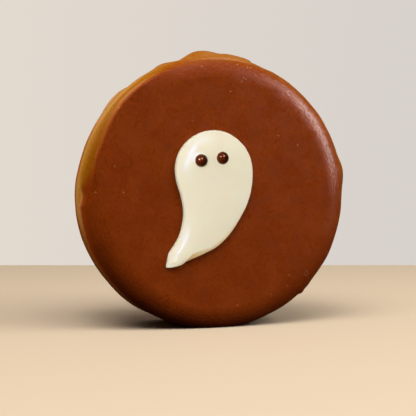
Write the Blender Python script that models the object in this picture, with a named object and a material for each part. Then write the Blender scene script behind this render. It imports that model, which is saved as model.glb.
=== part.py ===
"""A chocolate-coated alfajor that stands on its rim, its iced face towards -Y.

Two round cookies are sandwiched and dipped, so from outside they are one solid: a flat face
with a soft rim, a shallow waist where the layers meet, and a foot that ran out at the back.
The icing figure and its two bead eyes lie on the face as pieces of their own.
"""

import math

import bmesh
import bpy
from mathutils import Vector

# Driving dimensions, in metres. Z = 0 is the surface that the cookie stands on.
RADIUS = 0.0320
THICKNESS = 0.0176
CENTRE_HEIGHT = 0.0315
GAP = 0.0003

# The rim of the face, and the edge of the back.
RIM_IN = 0.0042
RIM_DEEP = 0.0034
BACK_EDGE = 0.0010

# The waist between the layers, the foot, and how far the back layer sits off the front one.
WAIST_DEPTH = 0.0006
WAIST_HALF_WIDTH = 0.0017
WAIST_PLACE = 0.52
FOOT_FLARE = 0.00035
FOOT_START = 0.75
BACK_SHRINK = 0.0003
LAYER_SLIP_X = 0.0007
LAYER_SLIP_Z = -0.00065

# Icing figure: a spine as a Bezier curve across the face, half widths and crown heights
# along it. X and Z are measured from the centre of the face.
SPINE = [(-0.0026, 0.01425), (-0.0017, 0.0030), (0.0023, -0.0068), (-0.0133, -0.0161)]
HALF_WIDTHS = [0.0136, 0.0095, 0.0066, 0.0038]
CROWN_HEAD = 0.0022
CROWN_TAIL = 0.0016
CROWN_POWER = 0.55

# Bead eyes, round in front and flat where they were pressed in. Each has a name, a place
# along the spine and across it as shares of its length and half width, and a radius.
EYES = [("eye_left", 0.195, -0.272, 0.0015), ("eye_right", 0.194, 0.173, 0.0014)]
EYE_PROUD = 0.0011
EYE_SUNK = 0.0012

# Runs and lumps of the coating: angle from +X towards +Z and half width in degrees, height,
# then place and half width in depth, where 0 is the front of the side and 1 its back.
LUMPS = [
    (97, 11.5, 0.0021, 0.45, 0.45),
    (80, 24, 0.0024, 0.45, 0.45),
    (112, 8, 0.0013, 0.45, 0.45),
    (133, 12.5, 0.0011, 0.80, 0.50),
    (162, 19, -0.0003, 0.90, 0.50),
    (9.5, 8.5, 0.0008, 0.15, 0.60),
    (312, 4, 0.0008, 0.30, 0.60),
]

# Faceting.
TURN_STEPS = 120
RIM_STEPS = 6
SIDE_STEPS = 14
EDGE_STEPS = 3
ICING_RINGS = 22
ICING_SIDES = 32
BEAD_RINGS = 10
BEAD_SIDES = 16

# The box of the whole is centred on the origin in Y, so the face sits behind its middle.
PROUD = GAP + CROWN_HEAD + EYE_PROUD
FACE_Y = (PROUD - THICKNESS) / 2
BACK_Y = FACE_Y + THICKNESS
SIDE_START = FACE_Y + RIM_DEEP
SIDE_END = BACK_Y - BACK_EDGE
FRONT_X = -LAYER_SLIP_X / 2


def clear_scene():
    for obj in list(bpy.data.objects):
        bpy.data.objects.remove(obj)


def material(name, colour, roughness):
    made = bpy.data.materials.new(name)
    made.use_nodes = True
    shader = made.node_tree.nodes["Principled BSDF"]
    shader.inputs["Base Color"].default_value = (*colour, 1.0)
    shader.inputs["Roughness"].default_value = roughness
    shader.inputs["Metallic"].default_value = 0.0
    return made


def add_object(name, bm, finish):
    bmesh.ops.recalc_face_normals(bm, faces=bm.faces)
    mesh = bpy.data.meshes.new(name)
    bm.to_mesh(mesh)
    bm.free()
    mesh.shade_smooth()
    mesh.set_sharp_from_angle(angle=math.radians(40))
    mesh.materials.append(finish)
    obj = bpy.data.objects.new(name, mesh)
    bpy.context.scene.collection.objects.link(obj)
    return obj


def smooth_step(value):
    value = min(max(value, 0.0), 1.0)
    return value * value * (3 - 2 * value)


def mound(share):
    """A smooth hump: 1 in its middle, 0 at its foot and beyond."""
    return (1 - min(share, 1.0) ** 2) ** 2


def cookie_profile():
    """(radius, y) from the middle of the face, over the rim and the side, to the back."""
    points = [(0.0, FACE_Y)]
    for step in range(RIM_STEPS + 1):
        turn = math.pi / 2 * step / RIM_STEPS
        radius = RADIUS - RIM_IN * (1 - math.sin(turn))
        points.append((radius, FACE_Y + RIM_DEEP * (1 - math.cos(turn))))
    for step in range(1, SIDE_STEPS + 1):
        points.append((RADIUS, SIDE_START + (SIDE_END - SIDE_START) * step / SIDE_STEPS))
    for step in range(1, EDGE_STEPS + 1):
        turn = math.pi / 2 * step / EDGE_STEPS
        radius = RADIUS - BACK_EDGE * (1 - math.cos(turn))
        points.append((radius, SIDE_END + BACK_EDGE * math.sin(turn)))
    points.append((0.0, BACK_Y))
    return points


def side_offset(angle, y):
    """How far the coating's side lies outside the plain drum at this angle and depth."""
    along = min(max((y - SIDE_START) / (SIDE_END - SIDE_START), 0.0), 1.0)
    back = smooth_step(along)
    slip = LAYER_SLIP_X * math.cos(angle) + LAYER_SLIP_Z * math.sin(angle)
    offset = back * (slip - BACK_SHRINK)

    waist_y = FACE_Y + THICKNESS * WAIST_PLACE
    offset -= WAIST_DEPTH * math.exp(-(((y - waist_y) / WAIST_HALF_WIDTH) ** 2))
    offset += FOOT_FLARE * max((along - FOOT_START) / (1 - FOOT_START), 0.0) ** 2

    for centre, half_width, height, depth, half_depth in LUMPS:
        apart = abs((math.degrees(angle) - centre + 180) % 360 - 180)
        offset += height * mound(apart / half_width) * mound(abs(along - depth) / half_depth)
    return offset


def build_cookie(finish):
    bm = bmesh.new()
    profile = [bm.verts.new((radius, y, 0.0)) for radius, y in cookie_profile()]
    edges = [bm.edges.new(pair) for pair in zip(profile, profile[1:])]
    bmesh.ops.spin(
        bm,
        geom=edges,
        cent=(0, 0, 0),
        axis=(0, 1, 0),
        angle=math.tau,
        steps=TURN_STEPS,
        use_merge=True,
    )
    bmesh.ops.remove_doubles(bm, verts=bm.verts, dist=1e-6)

    for vert in bm.verts:
        angle = math.atan2(vert.co.z, vert.co.x)
        growth = 1 + side_offset(angle, vert.co.y) / RADIUS
        vert.co.x = vert.co.x * growth + FRONT_X
        vert.co.z = vert.co.z * growth + CENTRE_HEIGHT

    # The small flat spot that it stands on.
    cut = bmesh.ops.bisect_plane(
        bm,
        geom=[*bm.verts, *bm.edges, *bm.faces],
        dist=1e-7,
        plane_co=(0, 0, 0),
        plane_no=(0, 0, -1),
        clear_outer=True,
    )
    rim = [item for item in cut["geom_cut"] if isinstance(item, bmesh.types.BMEdge)]
    bmesh.ops.edgenet_fill(bm, edges=rim)
    return add_object("coated_cookie", bm, finish)


def bernstein(values, t):
    """The value at t of a Bezier curve through these control values."""
    degree = len(values) - 1
    parts = [
        value * math.comb(degree, k) * t**k * (1 - t) ** (degree - k)
        for k, value in enumerate(values)
    ]
    return sum(parts[1:], parts[0])


def spine_frame(t):
    """The spine's point on the face at t, and the direction across it."""
    points = [Vector((x, 0.0, z)) for x, z in SPINE]
    steps = [after - before for before, after in zip(points, points[1:])]
    along = bernstein(steps, t).normalized()
    return bernstein(points, t), Vector((-along.z, 0.0, along.x))


def icing_point(t, side, front):
    """The icing's surface at t along the spine: side and front lie on a ball of radius 1."""
    centre, across = spine_frame(t)
    crown = CROWN_HEAD + (CROWN_TAIL - CROWN_HEAD) * t
    height = crown * max(front, 0.0) ** CROWN_POWER
    point = centre + across * side * bernstein(HALF_WIDTHS, t)
    return point + Vector((FRONT_X, FACE_Y - GAP - height, CENTRE_HEIGHT))


def build_icing(finish):
    """A ball drawn out along the spine: its front is the crown, its back lies flat."""
    bm = bmesh.new()
    bmesh.ops.create_uvsphere(bm, u_segments=ICING_SIDES, v_segments=ICING_RINGS, radius=1.0)
    for vert in bm.verts:
        vert.co = icing_point((1 - vert.co.z) / 2, vert.co.x, -vert.co.y)
    return add_object("icing_ghost", bm, finish)


def build_bead(name, along, side, radius, grow, finish):
    """A ball whose back is flat, grown all round by a gap when it is to cut a socket."""
    front = math.sqrt(4 * along * (1 - along) - side**2)
    surface = icing_point(along, side, front)
    bm = bmesh.new()
    bmesh.ops.create_uvsphere(
        bm, u_segments=BEAD_SIDES, v_segments=BEAD_RINGS, radius=radius + grow
    )
    flat_back = EYE_PROUD + EYE_SUNK - radius + grow
    for vert in bm.verts:
        vert.co.y = min(vert.co.y, flat_back)
    bead = add_object(name, bm, finish)
    bead.location = surface + Vector((0.0, radius - EYE_PROUD, 0.0))
    return bead


def cut_socket(icing, name, along, side, radius):
    """The hollow that the bead was pressed into, a gap wider than the bead."""
    finish = icing.data.materials[0]
    cutter = build_bead(name + "_cutter", along, side, radius, GAP, finish)
    cutter.hide_render = True
    cutter.display_type = "WIRE"
    socket = icing.modifiers.new(name + "_socket", "BOOLEAN")
    socket.operation = "DIFFERENCE"
    socket.object = cutter


def main():
    clear_scene()
    milk_chocolate = material("milk_chocolate", (0.181, 0.032, 0.0040), 0.38)
    white_chocolate = material("white_chocolate", (0.855, 0.806, 0.610), 0.25)
    dark_chocolate = material("dark_chocolate", (0.061, 0.0097, 0.0030), 0.30)

    build_cookie(milk_chocolate)
    icing = build_icing(white_chocolate)
    for name, along, side, radius in EYES:
        build_bead(name, along, side, radius, 0.0, dark_chocolate)
        cut_socket(icing, name, along, side, radius)


main()
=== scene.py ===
# %% [markdown]
# # A chocolate-coated alfajor with an iced ghost
# Two round biscuits with a filling between them are dipped in milk chocolate, so all that
# shows is the coat: a flat face, a soft rim and an uneven side. A drop of white chocolate is
# piped on the face, drawn out into a tail, and two dark pearls are pressed in as eyes. They
# give the places and the sizes, and each one is then stood for by a finer piece.

# %% The frame
import functools
import math

import bmesh
import bpy
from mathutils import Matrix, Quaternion, Vector, geometry, kdtree, noise


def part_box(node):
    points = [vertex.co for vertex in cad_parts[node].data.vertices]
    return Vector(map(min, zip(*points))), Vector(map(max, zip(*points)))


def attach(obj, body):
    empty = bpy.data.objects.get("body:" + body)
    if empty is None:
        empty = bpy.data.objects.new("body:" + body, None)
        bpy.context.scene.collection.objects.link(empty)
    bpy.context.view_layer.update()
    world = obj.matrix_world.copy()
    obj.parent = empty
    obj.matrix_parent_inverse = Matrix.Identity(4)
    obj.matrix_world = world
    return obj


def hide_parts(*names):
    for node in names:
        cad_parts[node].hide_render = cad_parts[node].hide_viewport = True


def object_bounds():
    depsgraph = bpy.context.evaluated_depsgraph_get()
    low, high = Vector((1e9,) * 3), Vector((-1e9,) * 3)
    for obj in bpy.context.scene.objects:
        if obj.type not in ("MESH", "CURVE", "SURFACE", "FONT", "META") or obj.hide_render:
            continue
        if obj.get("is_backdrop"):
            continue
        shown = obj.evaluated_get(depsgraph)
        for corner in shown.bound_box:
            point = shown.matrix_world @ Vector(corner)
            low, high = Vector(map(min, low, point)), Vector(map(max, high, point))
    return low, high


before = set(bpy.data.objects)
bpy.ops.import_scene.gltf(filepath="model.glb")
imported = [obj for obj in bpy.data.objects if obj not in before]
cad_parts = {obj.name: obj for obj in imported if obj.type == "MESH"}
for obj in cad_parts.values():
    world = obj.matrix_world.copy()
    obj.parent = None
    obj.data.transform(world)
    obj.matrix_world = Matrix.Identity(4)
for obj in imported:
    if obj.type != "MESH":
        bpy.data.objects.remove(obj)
cad_low, cad_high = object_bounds()
print("solids:", ", ".join(sorted(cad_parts)))

# %% [markdown]
# ## Sizes
# All lengths are in metres. The face and the back are read from the solids, so the fine
# pieces stay on them. The other sizes are the cookie's own: its radius, the height of its
# centre, and the soft rim that chocolate forms where it runs over an edge.

# %% Sizes
RADIUS = 0.0320
CENTRE_HEIGHT = 0.0315
RIM_IN = 0.0058
RIM_DEEP = 0.0034
BACK_EDGE = 0.0010
FRONT_X = -0.00035

cookie_low, cookie_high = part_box("coated_cookie")
FACE_Y, BACK_Y = cookie_low.y, cookie_high.y
THICKNESS = BACK_Y - FACE_Y
SIDE_START = FACE_Y + RIM_DEEP
SIDE_END = BACK_Y - BACK_EDGE
print(f"cookie: {2000 * RADIUS:.1f} mm across, {1000 * THICKNESS:.1f} mm thick")

# %% [markdown]
# ## Helpers
# A smooth step and a smooth hump are all that the forms need: chocolate sets with no hard
# corners, so every lump fades out with no edge. `add_piece` turns a bmesh into an object at
# the origin, points its faces outwards, and lets it ride on the cookie's only body.


# %% Helpers
def smooth_step(value):
    value = min(max(value, 0.0), 1.0)
    return value * value * (3 - 2 * value)


def mound(share):
    """A smooth hump: 1 in its middle, 0 at its foot and beyond."""
    return (1 - min(abs(share), 1.0) ** 2) ** 2


def turn_between(angle, centre):
    """The signed turn from centre to angle, in degrees."""
    return (angle - centre + 180) % 360 - 180


def add_piece(name, bm, finish, node):
    bmesh.ops.recalc_face_normals(bm, faces=bm.faces)
    mesh = bpy.data.meshes.new(name)
    bm.to_mesh(mesh)
    bm.free()
    mesh.shade_smooth()
    mesh.materials.append(finish)
    piece = bpy.data.objects.new(name, mesh)
    bpy.context.scene.collection.objects.link(piece)
    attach(piece, "root")
    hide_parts(node)
    print(f"{name}: {len(mesh.vertices)} points, {len(mesh.polygons)} faces")
    return piece


# %% [markdown]
# ## Shared effects
# Cooled chocolate is never one flat brown. It clouds where the fat has set at another pace,
# it has a very fine grain, and it catches specks of dust. All the finishes here use these
# effects, so each is a node group with named sockets, made once and placed with its own
# values.


# %% Node helpers
def new_group(name, inputs, outputs):
    """A shader node group. Inputs are (name, socket type, start value), outputs (name, type)."""
    group = bpy.data.node_groups.new(name, "ShaderNodeTree")
    for title, kind, start in inputs:
        socket = group.interface.new_socket(title, in_out="INPUT", socket_type=kind)
        if start is not None:
            socket.default_value = start
    for title, kind in outputs:
        group.interface.new_socket(title, in_out="OUTPUT", socket_type=kind)
    return group, group.nodes.new("NodeGroupInput"), group.nodes.new("NodeGroupOutput")


def add_node(tree, kind, **settings):
    node = tree.nodes.new(kind)
    for name, value in settings.items():
        setattr(node, name, value)
    return node


def map_range(tree, source, low, high, to_low, to_high, smooth=False):
    node = add_node(tree, "ShaderNodeMapRange")
    if smooth:
        node.interpolation_type = "SMOOTHSTEP"
    tree.links.new(source, node.inputs["Value"])
    for title, value in zip(("From Min", "From Max", "To Min", "To Max"), (low, high, to_low, to_high)):
        node.inputs[title].default_value = value
    return node.outputs["Result"]


def mix_colour(tree, factor, first, second):
    """first where factor is 0, second where it is 1. Each is a colour or a socket."""
    node = add_node(tree, "ShaderNodeMix", data_type="RGBA")
    tree.links.new(factor, node.inputs[0])
    for socket, value in ((node.inputs[6], first), (node.inputs[7], second)):
        if isinstance(value, tuple):
            socket.default_value = (*value, 1.0)
        else:
            tree.links.new(value, socket)
    return node.outputs[2]


def arithmetic(tree, operation, first, second):
    node = add_node(tree, "ShaderNodeMath", operation=operation)
    for socket, value in zip(node.inputs, (first, second)):
        if isinstance(value, float):
            socket.default_value = value
        else:
            tree.links.new(value, socket)
    return node.outputs[0]


# %% Cloudiness
def make_cloud_group():
    """Soft clouds of two sizes, between 0 and 1."""
    group, entry, leave = new_group(
        "set_clouds",
        [("Place", "NodeSocketVector", None), ("Size", "NodeSocketFloat", 0.006)],
        [("Cloud", "NodeSocketFloat")],
    )
    scale = arithmetic(group, "DIVIDE", 1.0, entry.outputs["Size"])
    wide = add_node(group, "ShaderNodeTexNoise")
    wide.inputs["Detail"].default_value = 3.0
    wide.inputs["Distortion"].default_value = 0.6
    group.links.new(entry.outputs["Place"], wide.inputs["Vector"])
    group.links.new(scale, wide.inputs["Scale"])
    cloud = map_range(group, wide.outputs[0], 0.3, 0.7, 0.0, 1.0, smooth=True)
    group.links.new(cloud, leave.inputs["Cloud"])
    return group


cloud_group = make_cloud_group()


# %% Fine grain
def make_grain_group():
    """The fine grain of a set surface, as a height and as a mask between 0 and 1."""
    group, entry, leave = new_group(
        "fine_grain",
        [("Place", "NodeSocketVector", None), ("Size", "NodeSocketFloat", 0.0004)],
        [("Grain", "NodeSocketFloat")],
    )
    scale = arithmetic(group, "DIVIDE", 1.0, entry.outputs["Size"])
    grain = add_node(group, "ShaderNodeTexNoise")
    grain.inputs["Detail"].default_value = 2.0
    grain.inputs["Roughness"].default_value = 0.6
    group.links.new(entry.outputs["Place"], grain.inputs["Vector"])
    group.links.new(scale, grain.inputs["Scale"])
    spread = map_range(group, grain.outputs[0], 0.25, 0.75, 0.0, 1.0)
    group.links.new(spread, leave.inputs["Grain"])
    return group


grain_group = make_grain_group()


# %% Dust specks
def make_speck_group():
    """Tiny pale specks, few and scattered: each cell holds one, and most cells are left out."""
    group, entry, leave = new_group(
        "dust_specks",
        [
            ("Place", "NodeSocketVector", None),
            ("Spacing", "NodeSocketFloat", 0.002),
            ("Speck Size", "NodeSocketFloat", 0.1),
            ("Share", "NodeSocketFloat", 0.2),
        ],
        [("Speck", "NodeSocketFloat")],
    )
    scale = arithmetic(group, "DIVIDE", 1.0, entry.outputs["Spacing"])
    cells = add_node(group, "ShaderNodeTexVoronoi")
    group.links.new(entry.outputs["Place"], cells.inputs["Vector"])
    group.links.new(scale, cells.inputs["Scale"])
    split = add_node(group, "ShaderNodeSeparateColor")
    group.links.new(cells.outputs["Color"], split.inputs[0])
    chosen = arithmetic(group, "LESS_THAN", split.outputs[0], entry.outputs["Share"])
    size = arithmetic(group, "MULTIPLY", entry.outputs["Speck Size"], split.outputs[1])
    near = arithmetic(group, "SUBTRACT", size, cells.outputs["Distance"])
    core = map_range(group, near, 0.0, 0.03, 0.0, 1.0)
    speck = arithmetic(group, "MULTIPLY", core, chosen)
    group.links.new(speck, leave.inputs["Speck"])
    return group


speck_group = make_speck_group()


# %% Crumbs on the face
# Across and up from the centre of the face, in millimetres.
CRUMBS = [
    (5.8, 26.9), (6.3, 26.5), (5.3, 26.0), (2.6, 23.6), (15.7, 25.4), (4.6, 30.0), (7.0, 29.4),
    (7.8, 29.4), (-4.2, 29.2), (19.3, 11.4), (14.4, 13.5), (16.8, -22.1), (17.1, -19.5),
    (12.6, -23.9), (4.3, -26.2), (-23.6, 19.3), (-28.8, 0.3), (-24.6, 6.1), (-22.6, 0.3),
]
CRUMB_RADIUS = 0.00016


def make_crumb_group():
    """Pale crumbs at places of their own. Only the place across and up counts, not the depth."""
    group, entry, leave = new_group(
        "face_crumbs", [("Place", "NodeSocketVector", None)], [("Crumb", "NodeSocketFloat")]
    )
    flat = add_node(group, "ShaderNodeVectorMath", operation="MULTIPLY")
    flat.inputs[1].default_value = (1.0, 0.0, 1.0)
    group.links.new(entry.outputs["Place"], flat.inputs[0])
    nearest = None
    for across, up in CRUMBS:
        away = add_node(group, "ShaderNodeVectorMath", operation="DISTANCE")
        centre = (FRONT_X + across / 1000, 0.0, CENTRE_HEIGHT + up / 1000)
        away.inputs[1].default_value = centre
        group.links.new(flat.outputs[0], away.inputs[0])
        gap = away.outputs["Value"]
        nearest = arithmetic(group, "MINIMUM", nearest, gap) if nearest else gap
    crumb = map_range(group, nearest, CRUMB_RADIUS * 0.6, CRUMB_RADIUS * 1.4, 1.0, 0.0)
    group.links.new(crumb, leave.inputs["Crumb"])
    return group


crumb_group = make_crumb_group()


# %% Rim streaks
def make_streak_group():
    """Short fine streaks that run round the rim, where the coat was dragged as it set."""
    group, entry, leave = new_group(
        "rim_streaks",
        [
            ("Place", "NodeSocketVector", None),
            ("Middle", "NodeSocketVector", None),
            ("Inner", "NodeSocketFloat", 0.027),
            ("Outer", "NodeSocketFloat", 0.031),
        ],
        [("Streak", "NodeSocketFloat")],
    )
    offset = add_node(group, "ShaderNodeVectorMath", operation="SUBTRACT")
    group.links.new(entry.outputs["Place"], offset.inputs[0])
    group.links.new(entry.outputs["Middle"], offset.inputs[1])
    split = add_node(group, "ShaderNodeSeparateXYZ")
    group.links.new(offset.outputs[0], split.inputs[0])
    turn = arithmetic(group, "ARCTAN2", split.outputs["Z"], split.outputs["X"])
    across = arithmetic(group, "MULTIPLY", split.outputs["X"], split.outputs["X"])
    upward = arithmetic(group, "MULTIPLY", split.outputs["Z"], split.outputs["Z"])
    radius = arithmetic(group, "SQRT", arithmetic(group, "ADD", across, upward), 0.0)
    spread = add_node(group, "ShaderNodeCombineXYZ")
    group.links.new(arithmetic(group, "MULTIPLY", turn, 26.0), spread.inputs["X"])
    group.links.new(arithmetic(group, "MULTIPLY", radius, 2600.0), spread.inputs["Y"])
    streaks = add_node(group, "ShaderNodeTexNoise")
    streaks.inputs["Scale"].default_value = 1.0
    streaks.inputs["Detail"].default_value = 1.0
    group.links.new(spread.outputs[0], streaks.inputs["Vector"])
    sharp = map_range(group, streaks.outputs[0], 0.45, 0.72, 0.0, 1.0, smooth=True)
    rise = add_node(group, "ShaderNodeMapRange", interpolation_type="SMOOTHSTEP")
    fall = add_node(group, "ShaderNodeMapRange", interpolation_type="SMOOTHSTEP")
    for node, low, high, start in ((rise, "Inner", 0.0012, 0.0), (fall, "Outer", 0.0010, 1.0)):
        group.links.new(radius, node.inputs["Value"])
        group.links.new(entry.outputs[low], node.inputs["From Min"])
        limit = arithmetic(group, "ADD", entry.outputs[low], high)
        group.links.new(limit, node.inputs["From Max"])
        node.inputs["To Min"].default_value = start
        node.inputs["To Max"].default_value = 1.0 - start
    band = arithmetic(group, "MULTIPLY", rise.outputs[0], fall.outputs[0])
    streak = arithmetic(group, "MULTIPLY", sharp, band)
    group.links.new(streak, leave.inputs["Streak"])
    return group


streak_group = make_streak_group()


# %% Burst bubble
def make_bubble_group():
    """The low ring that a burst bubble leaves."""
    group, entry, leave = new_group(
        "burst_bubble",
        [
            ("Place", "NodeSocketVector", None),
            ("Middle", "NodeSocketVector", None),
            ("Radius", "NodeSocketFloat", 0.0005),
        ],
        [("Ring", "NodeSocketFloat")],
    )
    away = add_node(group, "ShaderNodeVectorMath", operation="DISTANCE")
    group.links.new(entry.outputs["Place"], away.inputs[0])
    group.links.new(entry.outputs["Middle"], away.inputs[1])
    share = arithmetic(group, "DIVIDE", away.outputs["Value"], entry.outputs["Radius"])
    gap = arithmetic(group, "ABSOLUTE", arithmetic(group, "SUBTRACT", share, 1.0), 0.0)
    ring = map_range(group, gap, 0.0, 0.45, 1.0, 0.0, smooth=True)
    group.links.new(ring, leave.inputs["Ring"])
    return group


bubble_group = make_bubble_group()
print("node groups:", ", ".join(group.name for group in bpy.data.node_groups))


# %% [markdown]
# ## Finishes
# Each finish is a Principled shader. Numbers that are the same all over are set on the
# shader's own sockets, and only what changes over the surface is linked.


# %% Finish helper
def new_finish(name, **fixed):
    finish = bpy.data.materials.new(name)
    finish.use_nodes = True
    tree = finish.node_tree
    shader = tree.nodes["Principled BSDF"]
    for title, value in fixed.items():
        shader.inputs[title.replace("_", " ")].default_value = value
    place = add_node(tree, "ShaderNodeTexCoord").outputs["Object"]
    return finish, tree, shader, place


def place_group(tree, group, place, **values):
    node = add_node(tree, "ShaderNodeGroup", node_tree=group)
    tree.links.new(place, node.inputs["Place"])
    for title, value in values.items():
        node.inputs[title.replace("_", " ")].default_value = value
    return node.outputs[0]


def add_bump(tree, shader, height, strength, distance):
    bump = add_node(tree, "ShaderNodeBump")
    bump.inputs["Strength"].default_value = strength
    bump.inputs["Distance"].default_value = distance
    tree.links.new(height, bump.inputs["Height"])
    tree.links.new(bump.outputs["Normal"], shader.inputs["Normal"])


# %% Milk chocolate
def make_milk_chocolate():
    finish, tree, shader, place = new_finish(
        "milk_coat", IOR=1.45, Specular_IOR_Level=0.4, Metallic=0.0
    )
    cloud = place_group(tree, cloud_group, place, Size=0.007)
    grain = place_group(tree, grain_group, place, Size=0.00045)
    speck = place_group(tree, speck_group, place, Spacing=0.0024, Speck_Size=0.12, Share=0.16)
    brown = mix_colour(tree, cloud, (0.170, 0.0250, 0.0014), (0.195, 0.0305, 0.0020))
    # The golden side tint is partly a thin coat over the biscuit and partly painted light from a warm
    # lamp on the upper left.
    thin = add_node(tree, "ShaderNodeAttribute", attribute_name="thin_coat_and_painted_light")
    toned = mix_colour(tree, thin.outputs["Fac"], brown, (0.255, 0.108, 0.0015))
    grained = add_node(tree, "ShaderNodeVectorMath", operation="SCALE")
    tree.links.new(toned, grained.inputs[0])
    tree.links.new(map_range(tree, grain, 0.0, 1.0, 0.78, 1.22), grained.inputs["Scale"])
    speck = arithmetic(tree, "MAXIMUM", speck, place_group(tree, crumb_group, place))
    bubble = place_group(tree, bubble_group, place, Middle=BUBBLE_PLACE, Radius=0.00055)
    # Besides its bump, the burst bubble's ring is paled a little: a painted highlight on its raised
    # lip.
    speck = arithmetic(tree, "MAXIMUM", speck, arithmetic(tree, "MULTIPLY", bubble, 0.35))
    dusted_and_ring_glint = mix_colour(
        tree, map_range(tree, speck, 0.0, 1.0, 0.0, 0.3), grained.outputs[0], (0.62, 0.36, 0.20)
    )
    tree.links.new(dusted_and_ring_glint, shader.inputs["Base Color"])
    dulled = place_group(tree, cloud_group, place, Size=0.0035)
    tree.links.new(map_range(tree, dulled, 0.0, 1.0, 0.25, 0.34), shader.inputs["Roughness"])
    streak = place_group(tree, streak_group, place, Middle=FACE_MIDDLE, Inner=0.0272, Outer=0.0302)
    raised = arithmetic(tree, "MULTIPLY", bubble, 2.5)
    marks = arithmetic(tree, "ADD", arithmetic(tree, "MULTIPLY", streak, 1.6), raised)
    height = arithmetic(tree, "ADD", arithmetic(tree, "MULTIPLY", grain, 0.35), marks)
    add_bump(tree, shader, height, 0.5, 0.00003)
    return finish


FACE_MIDDLE = (FRONT_X, FACE_Y, CENTRE_HEIGHT)
BUBBLE_PLACE = (FRONT_X + 0.02161, FACE_Y + 0.00041, CENTRE_HEIGHT - 0.01932)
milk_chocolate = make_milk_chocolate()


# %% White chocolate
def make_white_chocolate():
    finish, tree, shader, place = new_finish(
        "white_icing",
        IOR=1.46,
        Metallic=0.0,
        Subsurface_Weight=0.35,
        Subsurface_Scale=0.0010,
    )
    shader.inputs["Subsurface Radius"].default_value = (1.0, 0.7, 0.35)
    cloud = place_group(tree, cloud_group, place, Size=0.009)
    cream = mix_colour(tree, cloud, (0.86, 0.800, 0.610), (0.88, 0.825, 0.642))
    # The tan tint is partly thin icing over the brown coat and partly painted shade: along the lower
    # right edge, away from the light, in the tail's crease, and below the pearls.
    thin = add_node(tree, "ShaderNodeAttribute", attribute_name="thin_icing_and_painted_shade")
    toned = mix_colour(tree, thin.outputs["Fac"], cream, (0.62, 0.42, 0.16))
    tree.links.new(toned, shader.inputs["Base Color"])
    tree.links.new(map_range(tree, cloud, 0.0, 1.0, 0.16, 0.18), shader.inputs["Roughness"])
    return finish


white_chocolate = make_white_chocolate()


# %% Dark chocolate
def make_dark_chocolate():
    finish, tree, shader, place = new_finish("dark_pearl", IOR=1.5, Metallic=0.0)
    cloud = place_group(tree, cloud_group, place, Size=0.0012)
    grain = place_group(tree, grain_group, place, Size=0.00025)
    brown = mix_colour(tree, cloud, (0.120, 0.0175, 0.0022), (0.150, 0.0215, 0.0026))
    tree.links.new(brown, shader.inputs["Base Color"])
    tree.links.new(map_range(tree, cloud, 0.0, 1.0, 0.20, 0.24), shader.inputs["Roughness"])
    add_bump(tree, shader, grain, 0.10, 0.00002)
    return finish


dark_chocolate = make_dark_chocolate()
print("finishes:", ", ".join(m.name for m in (milk_chocolate, white_chocolate, dark_chocolate)))

# %% [markdown]
# ## The coat
# A turned profile gives the drum: from the middle of the face, out over the soft rim, along
# the side, round the back edge and home. `bmesh.ops.spin` turns it, and each point is then
# moved out or in by what the chocolate did: the back biscuit sits a little off the front one,
# there is a shallow waist between them, the coat ran into lobes along the top, and it
# gathered in a foot round the back, where it stood to set.

# %% Forms of the side
WAIST_DEPTH = 0.0006
WAIST_HALF_WIDTH = 0.0017
WAIST_PLACE = 0.52
FOOT_FLARE = 0.00035
FOOT_START = 0.75
BACK_SHRINK = 0.0003
LAYER_SLIP_X = 0.0007
LAYER_SLIP_Z = -0.00065

# Lumps and runs: angle from +X towards +Z and half width in degrees, height, then place and
# half width in depth, where 0 is the front of the side and 1 its back.
LUMPS = [
    (97, 11.5, 0.0021, 0.45, 0.45),
    (80, 24, 0.0024, 0.45, 0.45),
    (112, 8, 0.0013, 0.45, 0.45),
    (133, 12.5, 0.0011, 0.80, 0.50),
    (162, 19, -0.0003, 0.90, 0.50),
    (9.5, 8.5, 0.0008, 0.15, 0.60),
    (315, 5, 0.00045, 0.30, 0.60),
    (311.7, 2.4, 0.00065, 0.30, 0.60),
    (171, 7, 0.00022, 0.10, 0.50),
    (181, 4.5, -0.00060, 0.15, 0.50),
    (22, 22, 0.00014, 0.10, 1.50),
    (69, 5, -0.00085, 0.45, 0.60),
    (79.5, 5, -0.00014, 0.45, 0.60),
    (90, 5, 0.00010, 0.45, 0.60),
    (111, 5, -0.00010, 0.60, 0.60),
    (120, 7, 0.00007, 0.80, 0.60),
    (168, 8, -0.00010, 0.80, 0.60),
    (236, 15, 0.00036, 0.80, 1.00),
    (306, 12, 0.00012, 0.10, 1.00),
    (36, 8, 0.00013, 0.10, 1.00),
    (332, 8, 0.00016, 0.10, 1.00),
    (357, 6, -0.00016, 0.10, 1.00),
]


@functools.cache
def lumps_at(angle):
    """The lumps that reach this angle: (height here, depth, half depth)."""
    found = []
    for centre, half_width, height, depth, half_depth in LUMPS:
        across = mound(turn_between(angle, centre) / half_width)
        if across:
            found.append((height * across, depth, half_depth))
    return found


def side_offset(angle, y):
    """How far the coat's side lies outside the plain drum. The angle is in degrees."""
    along = min(max((y - SIDE_START) / (SIDE_END - SIDE_START), 0.0), 1.0)
    turn = math.radians(angle)
    slip = LAYER_SLIP_X * math.cos(turn) + LAYER_SLIP_Z * math.sin(turn)
    offset = smooth_step(along) * (slip - BACK_SHRINK)
    waist_y = FACE_Y + THICKNESS * WAIST_PLACE
    offset -= WAIST_DEPTH * math.exp(-(((y - waist_y) / WAIST_HALF_WIDTH) ** 2))
    offset += FOOT_FLARE * max((along - FOOT_START) / (1 - FOOT_START), 0.0) ** 2
    for height, depth, half_depth in lumps_at(round(angle, 2)):
        offset += height * mound((along - depth) / half_depth)
    return offset * smooth_step((y - FACE_Y) / RIM_DEEP)


# %% [markdown]
# The profile needs small steps where it turns, so the rim is drawn as a quarter of an
# ellipse. The steps across the flat middle are wider.

# %% The profile
TURN_STEPS = 560
SLICES = 14
FACE_ROWS = 46
RIM_ROWS = 36
SIDE_ROWS = 50
EDGE_ROWS = 8
BACK_ROWS = 18


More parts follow.
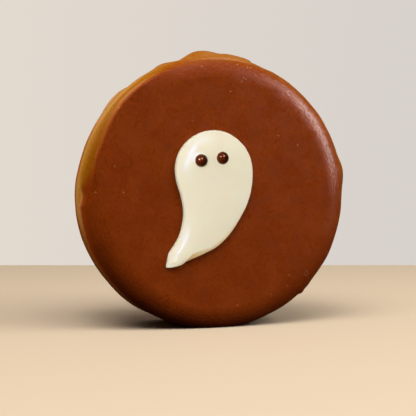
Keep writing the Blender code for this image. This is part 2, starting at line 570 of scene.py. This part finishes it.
def coat_profile():
    """(radius, y) from the middle of the face to the middle of the back."""
    flat = RADIUS - RIM_IN
    points = [(flat * row / FACE_ROWS, FACE_Y) for row in range(FACE_ROWS)]
    for row in range(RIM_ROWS + 1):
        turn = math.pi / 2 * row / RIM_ROWS
        points.append(
            (RADIUS - RIM_IN * (1 - math.sin(turn)), FACE_Y + RIM_DEEP * (1 - math.cos(turn)))
        )
    for row in range(1, SIDE_ROWS + 1):
        points.append((RADIUS, SIDE_START + (SIDE_END - SIDE_START) * row / SIDE_ROWS))
    for row in range(1, EDGE_ROWS + 1):
        turn = math.pi / 2 * row / EDGE_ROWS
        points.append(
            (RADIUS - BACK_EDGE * (1 - math.cos(turn)), SIDE_END + BACK_EDGE * math.sin(turn))
        )
    inner = RADIUS - BACK_EDGE
    points += [(inner * (1 - row / BACK_ROWS), BACK_Y) for row in range(1, BACK_ROWS + 1)]
    return points


def spin_profile():
    """Turns the profile through one slice, then copies the slice round the circle."""
    bm = bmesh.new()
    profile = [bm.verts.new((radius, y, 0.0)) for radius, y in coat_profile()]
    edges = [bm.edges.new(pair) for pair in zip(profile, profile[1:])]
    around = {"cent": (0, 0, 0), "axis": (0, 1, 0)}
    slice_steps = TURN_STEPS // SLICES
    bmesh.ops.spin(bm, geom=edges, angle=math.tau / SLICES, steps=slice_steps, **around)
    bmesh.ops.spin(
        bm,
        geom=[*bm.verts, *bm.edges, *bm.faces],
        angle=math.tau * (SLICES - 1) / SLICES,
        steps=SLICES - 1,
        use_duplicate=True,
        **around,
    )
    bmesh.ops.remove_doubles(bm, verts=bm.verts, dist=1e-6)
    return bm


coat = spin_profile()
print("turned coat:", len(coat.verts), "points")


# %% [markdown]
# ## Unevenness
# A dipped coat follows the biscuit, so its face swells and sinks by a few hundredths of a
# millimetre, and its side carries runs and short ripples.


# %% Unevenness
def relief(place, radius, y, bevel):
    """A small move along the surface's normal: outwards is positive."""
    wide = noise.noise(place * 90)
    fine = noise.noise(place * 330 + Vector((3.1, 0.7, 5.3)))
    side = smooth_step((radius - 0.024) / 0.006)
    ridge = noise.noise(Vector((place.x * 80, place.y * 900, place.z * 80)))
    reach = smooth_step((y - FACE_Y - 0.0006) / RIM_DEEP)
    swell = (0.00005 + 0.00009 * side) * wide + (0.000008 + 0.00003 * side) * fine
    return swell + 0.00007 * reach * (1 + 1.6 * bevel) * ridge


BEVEL_START = 0.0292
BEVEL_WIDTH = 0.0010
BEVEL_NARROWING = 0.0011


def keep_inside(point, low, high):
    return Vector([min(max(c, a), b) for c, a, b in zip(point, low, high)])


def bevel_share(angle):
    """How far the rim at this angle is a crisp bevel: 1 at the upper left, 0 elsewhere."""
    return smooth_step((179 - angle) / 10) * smooth_step((angle - 104) / 24)


def shape_coat(bm):
    thin = bm.verts.layers.float.new("thin_coat_and_painted_light")
    for vert in bm.verts:
        x, y, z = vert.co
        radius = math.hypot(x, z)
        angle = math.degrees(math.atan2(z, x))
        bevel = bevel_share(angle)
        if y < SIDE_START:
            start = BEVEL_START + BEVEL_NARROWING * smooth_step((160 - angle) / 25)
            crisp = smooth_step((radius - start) / BEVEL_WIDTH)
            y = FACE_Y + (y - FACE_Y) * (1 - bevel * (1 - crisp))
        growth = 1 + side_offset(angle, y) / RADIUS
        small = relief(vert.co, radius, y, bevel)
        out = Vector((x, 0.0, z)) / max(radius, 1e-6)
        rim = smooth_step((radius - (RADIUS - RIM_IN)) / RIM_IN)
        flat_y = 0.0 if y > SIDE_START else -(1 - rim) * small
        vert.co = Vector((x * growth, y + flat_y, z * growth)) + out * rim * small * (
            y < SIDE_END
        )
        vert.co.x += FRONT_X
        vert.co.z = max(vert.co.z + CENTRE_HEIGHT, 0.0)
        # This mask tints the side golden. Part of it is the biscuit showing through a thin coat, and
        # part is painted light: it is strongest on the upper left, where a warm light falls, weaker
        # towards the front rim there, and fades below the fold near 176 degrees, where the side turns
        # into shade. A painted shaded line runs along a groove on the bevel.
        low = smooth_step((turn_between(angle, 176) + 1500 * (FACE_Y + 0.004 - y)) / 16)
        deep = smooth_step((y - FACE_Y - 0.0003 - 0.0030 * low) / (0.0030 - 0.0022 * bevel))
        deep *= 1 - smooth_step((y - SIDE_END + 0.0016) / 0.0012)
        left = smooth_step((55 - abs(turn_between(angle, 158))) / 40)
        outer = smooth_step((y - FACE_Y - 0.0012) / 0.0025)
        groove_shade = 0.55 * bevel * math.exp(-(((y - FACE_Y - 0.0112) / 0.0008) ** 2))
        shade = (0.45 + 0.55 * left) * (1 - 0.55 * left * (1 - outer)) * (1 - groove_shade)
        vert[thin] = deep * shade * (1 - 0.3 * low) * (y < BACK_Y - 1e-5)
        if y > BACK_Y - 1e-5:
            vert.co.y -= 0.0001 * (1 + noise.noise(Vector((x, 5.0, z)) * 110))
        vert.co = keep_inside(vert.co, cookie_low, cookie_high)
    return bm


coating = add_piece(
    "chocolate_coat", shape_coat(coat), milk_chocolate, "coated_cookie"
)

# %% [markdown]
# ## The icing figure
# Icing that is piped as a drop and drawn away leaves a fat round head and a thin tail, cut off
# where the tip was lifted. Its outline is kept as rows from the top to the tail, each with a
# left and a right edge. A ball is drawn over these rows: its poles become the two ends, its
# rings become the rows, and its back half is pressed flat on the face.

# %% Rows of the outline
# Height, left edge and right edge, in millimetres from the centre of the face.
ICING_ROWS = [
    (14.55, -1.40, -1.40), (14.50, -2.40, -0.42), (14.36, -3.30, 0.48), (14.05, -4.48, 1.58),
    (13.55, -5.60, 2.66), (12.70, -7.02, 3.98), (11.70, -8.18, 5.11), (10.70, -9.02, 6.03),
    (9.60, -9.74, 6.70), (8.40, -10.28, 7.27), (7.20, -10.60, 7.62), (6.00, -10.75, 7.83),
    (4.80, -10.75, 7.91), (3.60, -10.61, 7.88), (2.40, -10.35, 7.81), (1.20, -9.97, 7.63),
    (0.00, -9.58, 7.41), (-1.20, -9.27, 7.04), (-2.40, -9.03, 6.62), (-3.60, -8.88, 6.12),
    (-4.80, -8.83, 5.48), (-6.00, -8.92, 4.78), (-7.20, -9.13, 4.03), (-8.40, -9.41, 3.24),
    (-9.60, -9.80, 2.32), (-10.80, -10.36, 1.20), (-12.00, -11.15, -0.20), (-13.00, -11.85, -1.70),
    (-13.60, -12.25, -3.00), (-14.20, -12.42, -4.35), (-14.70, -12.53, -5.60),
    (-15.10, -12.60, -6.65), (-15.45, -12.66, -7.50), (-15.65, -12.72, -8.00),
    (-16.00, -12.78, -8.55), (-16.35, -12.84, -9.05), (-16.60, -12.86, -9.70),
    (-16.80, -12.84, -10.40), (-16.93, -12.74, -11.20), (-16.98, -12.50, -11.80),
    (-17.00, -12.15, -12.15),
]
ICING_RINGS = 220
ICING_SIDES = 176


def through_rows(place):
    """The row at this place along the list, on a smooth curve through all rows, in metres."""
    index = min(int(place), len(ICING_ROWS) - 2)
    t = place - index
    rows = [ICING_ROWS[min(max(index + k, 0), len(ICING_ROWS) - 1)] for k in (-1, 0, 1, 2)]
    found = []
    for before, first, second, after in zip(*rows):
        bend = 2 * before - 5 * first + 4 * second - after
        swing = 3 * (first - second) + after - before
        value = first + 0.5 * t * (second - before + t * (bend + t * swing))
        found.append(value / 1000)
    return found


@functools.cache
def icing_row(place):
    return through_rows(place)


# %% [markdown]
# The height of the icing depends on how far a point is from the outline. The edge itself is
# steep, because the drop stopped there, and it is the same all round. Behind it the surface
# rises slowly to a broad top, lower towards the tail. A search tree over points on the
# outline gives the distance.

# %% Height of the icing
CROWN_HEAD = 0.0022
CROWN_TAIL = 0.0013
ICING_SINK = 0.0001
EDGE_WIDTH = 0.00036
EDGE_SHARE = 0.42
SHOULDER = 0.0065
TAIL_RADIUS = 0.0023
CREASE = [
    (Vector((-0.0080, 0.0, -0.0160)), Vector((-0.0068, 0.0, -0.0142)), 1.0, 0.8),
    (Vector((-0.0068, 0.0, -0.0142)), Vector((-0.0026, 0.0, -0.0124)), 0.8, 0.0),
]
CREASE_DEPTH = 0.00026
CREASE_WIDTH = 0.00034

widths = [(right - left) / 2000 for height, left, right in ICING_ROWS]
widest = widths.index(max(widths))


def outline_tree():
    steps = 40 * (len(ICING_ROWS) - 1)
    tree = kdtree.KDTree(2 * (steps + 1))
    for step in range(steps + 1):
        z, left, right = icing_row(step / 40)
        tree.insert((left, 0.0, z), 2 * step)
        tree.insert((right, 0.0, z), 2 * step + 1)
    tree.balance()
    return tree


outline = outline_tree()


def local_radius(place, width):
    """The half width that the swell is measured against at this place along the rows."""
    if place < widest:
        return widths[widest]
    return max(width, TAIL_RADIUS)


def crease_share(point):
    """How deep in the crease this point lies: 1 at its start, 0 away from it."""
    deepest = 0.0
    for start, end, first, last in CREASE:
        foot, along = geometry.intersect_point_line(point, start, end)
        along = min(max(along, 0.0), 1.0)
        gap = (point - start.lerp(end, along)).length / CREASE_WIDTH
        deepest = max(deepest, (first + (last - first) * along) * math.exp(-(gap**2)))
    return deepest


def icing_height(place, side, point):
    """The height over the face at this share across the row, and the distance to the edge."""
    z, left, right = icing_row(place)
    width = (right - left) / 2
    away = outline.find(point)[2]
    near = min(away / EDGE_WIDTH, 1.0)
    edge = math.sqrt(1 - (1 - near) ** 2)
    radius = local_radius(place, width)
    inside = 1 - math.sqrt(max(1 - (width / radius) ** 2 * (1 - side**2), 0.0))
    swell = 1 - (1 - min(inside * max(radius / SHOULDER, 1.0), 1.0)) ** 2
    lower = min(max(-z / 0.0168, 0.0), 1.0) ** 1.5
    crown = CROWN_HEAD + (CROWN_TAIL - CROWN_HEAD) * lower
    height = crown * (EDGE_SHARE * edge + (1 - EDGE_SHARE) * swell)
    return height - CREASE_DEPTH * crease_share(point) * near, away


# %% [markdown]
# The pearls sit where the eyes are. The icing creeps up a little way round each of them, as
# any liquid does round something pressed into it, so the icing needs their places too.

# %% Pearls
PEARLS = [("pearl_left", "eye_left", 0.0015, 1.02), ("pearl_right", "eye_right", 0.0014, 1.07)]
CREEP_HEIGHT = 0.00008
CREEP_WIDTH = 0.00022

pearl_places = {}
for name, node, radius, wider in PEARLS:
    low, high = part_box(node)
    pearl_places[name] = Vector(((low.x + high.x) / 2, low.y + radius, (low.z + high.z) / 2))
    print(name, [round(1000 * c, 2) for c in pearl_places[name]])


# %% Icing mesh
def creep(x, z):
    """How near this place on the face is to a pearl: 1 at its rim, 0 far away."""
    climb = 0.0
    for name, node, radius, wider in PEARLS:
        centre = pearl_places[name]
        away = math.hypot(x - centre.x, z - centre.z) - radius
        climb += math.exp(-max(away, 0.0) / CREEP_WIDTH)
    return climb


def shape_icing():
    bm = bmesh.new()
    bmesh.ops.create_uvsphere(bm, u_segments=ICING_SIDES, v_segments=ICING_RINGS, radius=1.0)
    thin = bm.verts.layers.float.new("thin_icing_and_painted_shade")
    for vert in bm.verts:
        turn = math.acos(min(max(vert.co.z, -1.0), 1.0))
        ring = max(math.sin(turn), 1e-6)
        place = round(turn / math.pi * (len(ICING_ROWS) - 1), 5)
        side = min(max(vert.co.x / ring, -1.0), 1.0)
        front = -vert.co.y / ring
        z, left, right = icing_row(place)
        point = Vector(((left + right) / 2 + side * (right - left) / 2, 0.0, z))
        height = away = 0.0
        if front > 1e-4 and 1e-4 < turn < math.pi - 1e-4:
            height, away = icing_height(place, side, point)
        x, z = point.x + FRONT_X, point.z + CENTRE_HEIGHT
        near_pearl = creep(x, z) if height else 0.0
        lift = CREEP_HEIGHT * near_pearl * min(height / 0.001, 1.0)
        vert.co = Vector((x, FACE_Y + ICING_SINK - height - lift, z))
        # Tan tint: thin icing at the lower right edge, with painted shade there on the side away from
        # the light; painted shade in the tail's crease; and a painted reflection of the brown pearls on
        # the icing just below them.
        lower_right = smooth_step(0.2 + 0.9 * side) * smooth_step(-60 * point.z)
        lower_right *= 1 - 0.6 * smooth_step((-0.0150 - point.z) / 0.0010)
        below = smooth_step(0.5 - (z - pearl_places["pearl_left"].z) / 0.002)
        thin_tint_and_shade = lower_right * (1 - smooth_step(away / 0.0015))
        thin_tint_and_shade += crease_share(point) + 0.45 * near_pearl**2 * below
        vert[thin] = min(thin_tint_and_shade, 1.0) * (height > 0)
    return bm


icing = add_piece("ghost_icing", shape_icing(), white_chocolate, "icing_ghost")


# %% Pearl meshes
def shape_pearl(place, radius, wider):
    bm = bmesh.new()
    bmesh.ops.create_uvsphere(bm, u_segments=64, v_segments=40, radius=radius)
    for vert in bm.verts:
        vert.co *= 1 + 0.008 * noise.noise(vert.co * 700 + place * 1000)
        vert.co.x *= wider
        vert.co.z *= wider
        vert.co += place
        vert.co.y = max(vert.co.y, cad_low.y)
    return bm


for name, node, radius, wider in PEARLS:
    add_piece(name, shape_pearl(pearl_places[name], radius, wider), dark_chocolate, node)

# %% [markdown]
# ## The stand and the room
# A plain pale board with its far edge behind the cookie, and a plain pale wall.

# %% Camera
CAMERA_YAW = 16.0
CAMERA_DROP = 1.0
CAMERA_DISTANCE = 0.215
LENS = 77.2
aim_point = Vector((FRONT_X, FACE_Y + THICKNESS / 2, CENTRE_HEIGHT))


def camera_axes():
    yaw, drop = math.radians(CAMERA_YAW), math.radians(CAMERA_DROP)
    ahead = Vector(
        (math.sin(yaw) * math.cos(drop), math.cos(yaw) * math.cos(drop), -math.sin(drop))
    )
    right = ahead.cross(Vector((0, 0, 1))).normalized()
    return ahead, right, right.cross(ahead)


ahead, right, up = camera_axes()
camera = bpy.data.objects.new("camera", bpy.data.cameras.new("camera"))
camera.data.lens = LENS
camera.data.shift_x = -0.0034
camera.data.shift_y = -0.0372
camera.data.clip_start = 0.01
camera.location = aim_point - ahead * CAMERA_DISTANCE
camera.rotation_mode = "QUATERNION"
camera.rotation_quaternion = ahead.to_track_quat("-Z", "Y")
bpy.context.scene.collection.objects.link(camera)
bpy.context.scene.camera = camera


# %% Board
def make_board_finish():
    finish, tree, shader, place = new_finish("pale_board", Roughness=0.8)
    # To every ray but the camera's the board is nearly black, so no pale light bounces up from it: the
    # dark lower rim of the cookie is painted shade by way of the board.
    seen = add_node(tree, "ShaderNodeLightPath").outputs["Is Camera Ray"]
    colour = mix_colour(tree, seen, (0.03, 0.013, 0.004), (0.50, 0.40, 0.29))
    tree.links.new(colour, shader.inputs["Base Color"])
    return finish


def make_board():
    bm = bmesh.new()
    bmesh.ops.create_grid(bm, x_segments=1, y_segments=1, size=0.5)
    for vert in bm.verts:
        sideways = vert.co.x * 4
        behind = 0.141 if vert.co.y > 0 else -1.2
        flat_ahead = Vector((ahead.x, ahead.y, 0.0)).normalized()
        vert.co = aim_point * 1.0 + right * sideways + flat_ahead * behind
        vert.co.z = 0.0
    mesh = bpy.data.meshes.new("board")
    bm.to_mesh(mesh)
    bm.free()
    mesh.materials.append(make_board_finish())
    board = bpy.data.objects.new("board", mesh)
    bpy.context.scene.collection.objects.link(board)
    board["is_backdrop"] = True
    return board


board = make_board()


# %% Lights
def softbox(name, turn, lift, width, height, radiance, colour, sees="both", only=(), roll=0):
    """An area light 0.6 m off: turn is 0 in front and 90 at the right, lift is above level.

    It may light only the bulk, only the shine, or only some pieces.
    """
    light = bpy.data.lights.new(name, "AREA")
    light.shape = "RECTANGLE"
    light.size, light.size_y = width, height
    light.energy = radiance * math.pi * width * height
    light.color = colour
    lamp = bpy.data.objects.new(name, light)
    turn, lift = math.radians(turn), math.radians(lift)
    towards = Vector(
        (math.sin(turn) * math.cos(lift), -math.cos(turn) * math.cos(lift), math.sin(lift))
    )
    lamp.location = aim_point + towards * 0.6
    lamp.rotation_mode = "QUATERNION"
    lamp.rotation_quaternion = towards.to_track_quat("Z", "Y") @ Quaternion(
        (0, 0, 1), math.radians(roll)
    )
    lamp.visible_camera = False
    lamp.visible_glossy = sees != "bulk"
    lamp.visible_diffuse = sees != "shine"
    bpy.context.scene.collection.objects.link(lamp)
    if only:
        lit = bpy.data.collections.new(name + "_lights")
        for piece in only:
            lit.objects.link(piece)
        lamp.light_linking.receiver_collection = lit
        if lift < 0:
            lamp.light_linking.blocker_collection = lit
    return lamp


pearls = [bpy.data.objects[name] for name, node, radius, wider in PEARLS]
WHITE = (1.0, 0.98, 0.95)
COOL = (1.0, 1.0, 1.04)
BLUE = (0.35, 0.55, 1.25)
GOLD = (1.0, 0.87, 0.42)
softbox("top_left", -45, 60, 0.34, 0.34, 7.6, WHITE, "bulk", [coating, board])
softbox("top", 0, 60, 0.34, 0.34, 6.4, WHITE, "bulk", [coating, board])
softbox("right_high", 57, 35, 0.34, 0.34, 7.8, WHITE, "bulk", [coating, board])
softbox("gold_left", -108, 30, 0.34, 0.34, 9.0, GOLD, "bulk", [coating])
softbox("gold_low", -135, 10, 0.40, 0.25, 4.2, GOLD, "bulk", [coating])
softbox("right_low", 90, 10, 0.30, 0.30, 2.2, WHITE, "bulk", [coating])
softbox("icing_front", -4, 14, 0.50, 0.50, 4.5, WHITE, "bulk", [icing])
softbox("icing_top", 0, 88, 0.30, 0.30, 6.0, COOL, "bulk", [icing])
softbox("icing_left", -92, 8, 0.32, 0.32, 9.0, COOL, "bulk", [icing])
softbox("icing_low", 0, -85, 0.40, 0.30, 6.0, COOL, "bulk", [icing])
softbox("icing_right", 92, 5, 0.30, 0.30, 6.0, COOL, "bulk", [icing])
softbox("icing_window", -11, 14, 0.045, 0.30, 16.0, BLUE, "shine", [icing], -23)
softbox("icing_arch", 5, 32, 0.17, 0.045, 7.0, BLUE, "shine", [icing])
softbox("pearl_side", -60, 26, 0.30, 0.30, 12.0, WHITE, "bulk", pearls)
PEARL_SPOTS = [(pearls[0], -43, 20, 55.0), (pearls[0], 3, 35, 30.0)]
PEARL_SPOTS += [(pearls[1], -39, 22, 26.0), (pearls[1], 20, 34, 36.0)]
for pearl, turn, lift, radiance in PEARL_SPOTS:
    softbox("spot", turn, lift, 0.15, 0.15, radiance, (1.0, 0.68, 0.42), "shine", [pearl])
softbox("right_panel", 57, 21, 0.17, 0.31, 15.0, (1.0, 0.95, 0.91), "shine", [coating])
softbox("left_panel", -75, 50, 0.16, 0.16, 3.7, (1.0, 0.80, 0.45), "shine", [coating])
softbox("crest_strip", 135, 66, 0.16, 0.30, 3.6, (1.0, 0.70, 0.35), "shine", [coating])
softbox("crest_back", -150, 35, 0.32, 0.32, 1.2, (1.0, 0.8, 0.5), "shine", [coating])


# %% Room
def make_room():
    world = bpy.data.worlds.new("room")
    world.use_nodes = True
    tree = world.node_tree
    backdrop = tree.nodes["Background"]
    paths = add_node(tree, "ShaderNodeLightPath")
    facing = add_node(tree, "ShaderNodeTexCoord").outputs["Generated"]
    split = add_node(tree, "ShaderNodeSeparateXYZ")
    tree.links.new(facing, split.inputs[0])
    across = map_range(tree, split.outputs["X"], 0.05, 0.50, 0.0, 1.0)
    wall = mix_colour(tree, across, (0.760, 0.700, 0.625), (0.680, 0.635, 0.600))
    lean = arithmetic(tree, "MULTIPLY", split.outputs["X"], 0.35)
    height = arithmetic(tree, "ADD", split.outputs["Z"], lean)
    height = map_range(tree, height, -0.05, 0.65, 0.0, 1.0, smooth=True)
    fill = mix_colour(tree, height, (0.02, 0.012, 0.006), (0.25, 0.24, 0.23))
    behind = map_range(tree, split.outputs["Y"], 0.2, 0.9, 0.0, 1.0, smooth=True)
    gloss = mix_colour(tree, behind, (0.0, 0.0, 0.0), (0.40, 0.24, 0.10))
    unlit = mix_colour(tree, paths.outputs["Is Glossy Ray"], fill, gloss)
    seen = mix_colour(tree, paths.outputs["Is Camera Ray"], unlit, wall)
    tree.links.new(seen, backdrop.inputs["Color"])
    bpy.context.scene.world = world


make_room()
bpy.context.scene.view_settings.view_transform = "Standard"
bpy.context.scene.view_settings.look = "None"

# %% [markdown]
# ## Sizes kept
# The box of the solids and the box of the finished pieces are written side by side.

# %% Sizes kept
low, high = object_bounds()
print("visual box, mm:", [round(1000 * c, 2) for c in (*low, *high)])
print("solid box, mm:", [round(1000 * c, 2) for c in (*cad_low, *cad_high)])
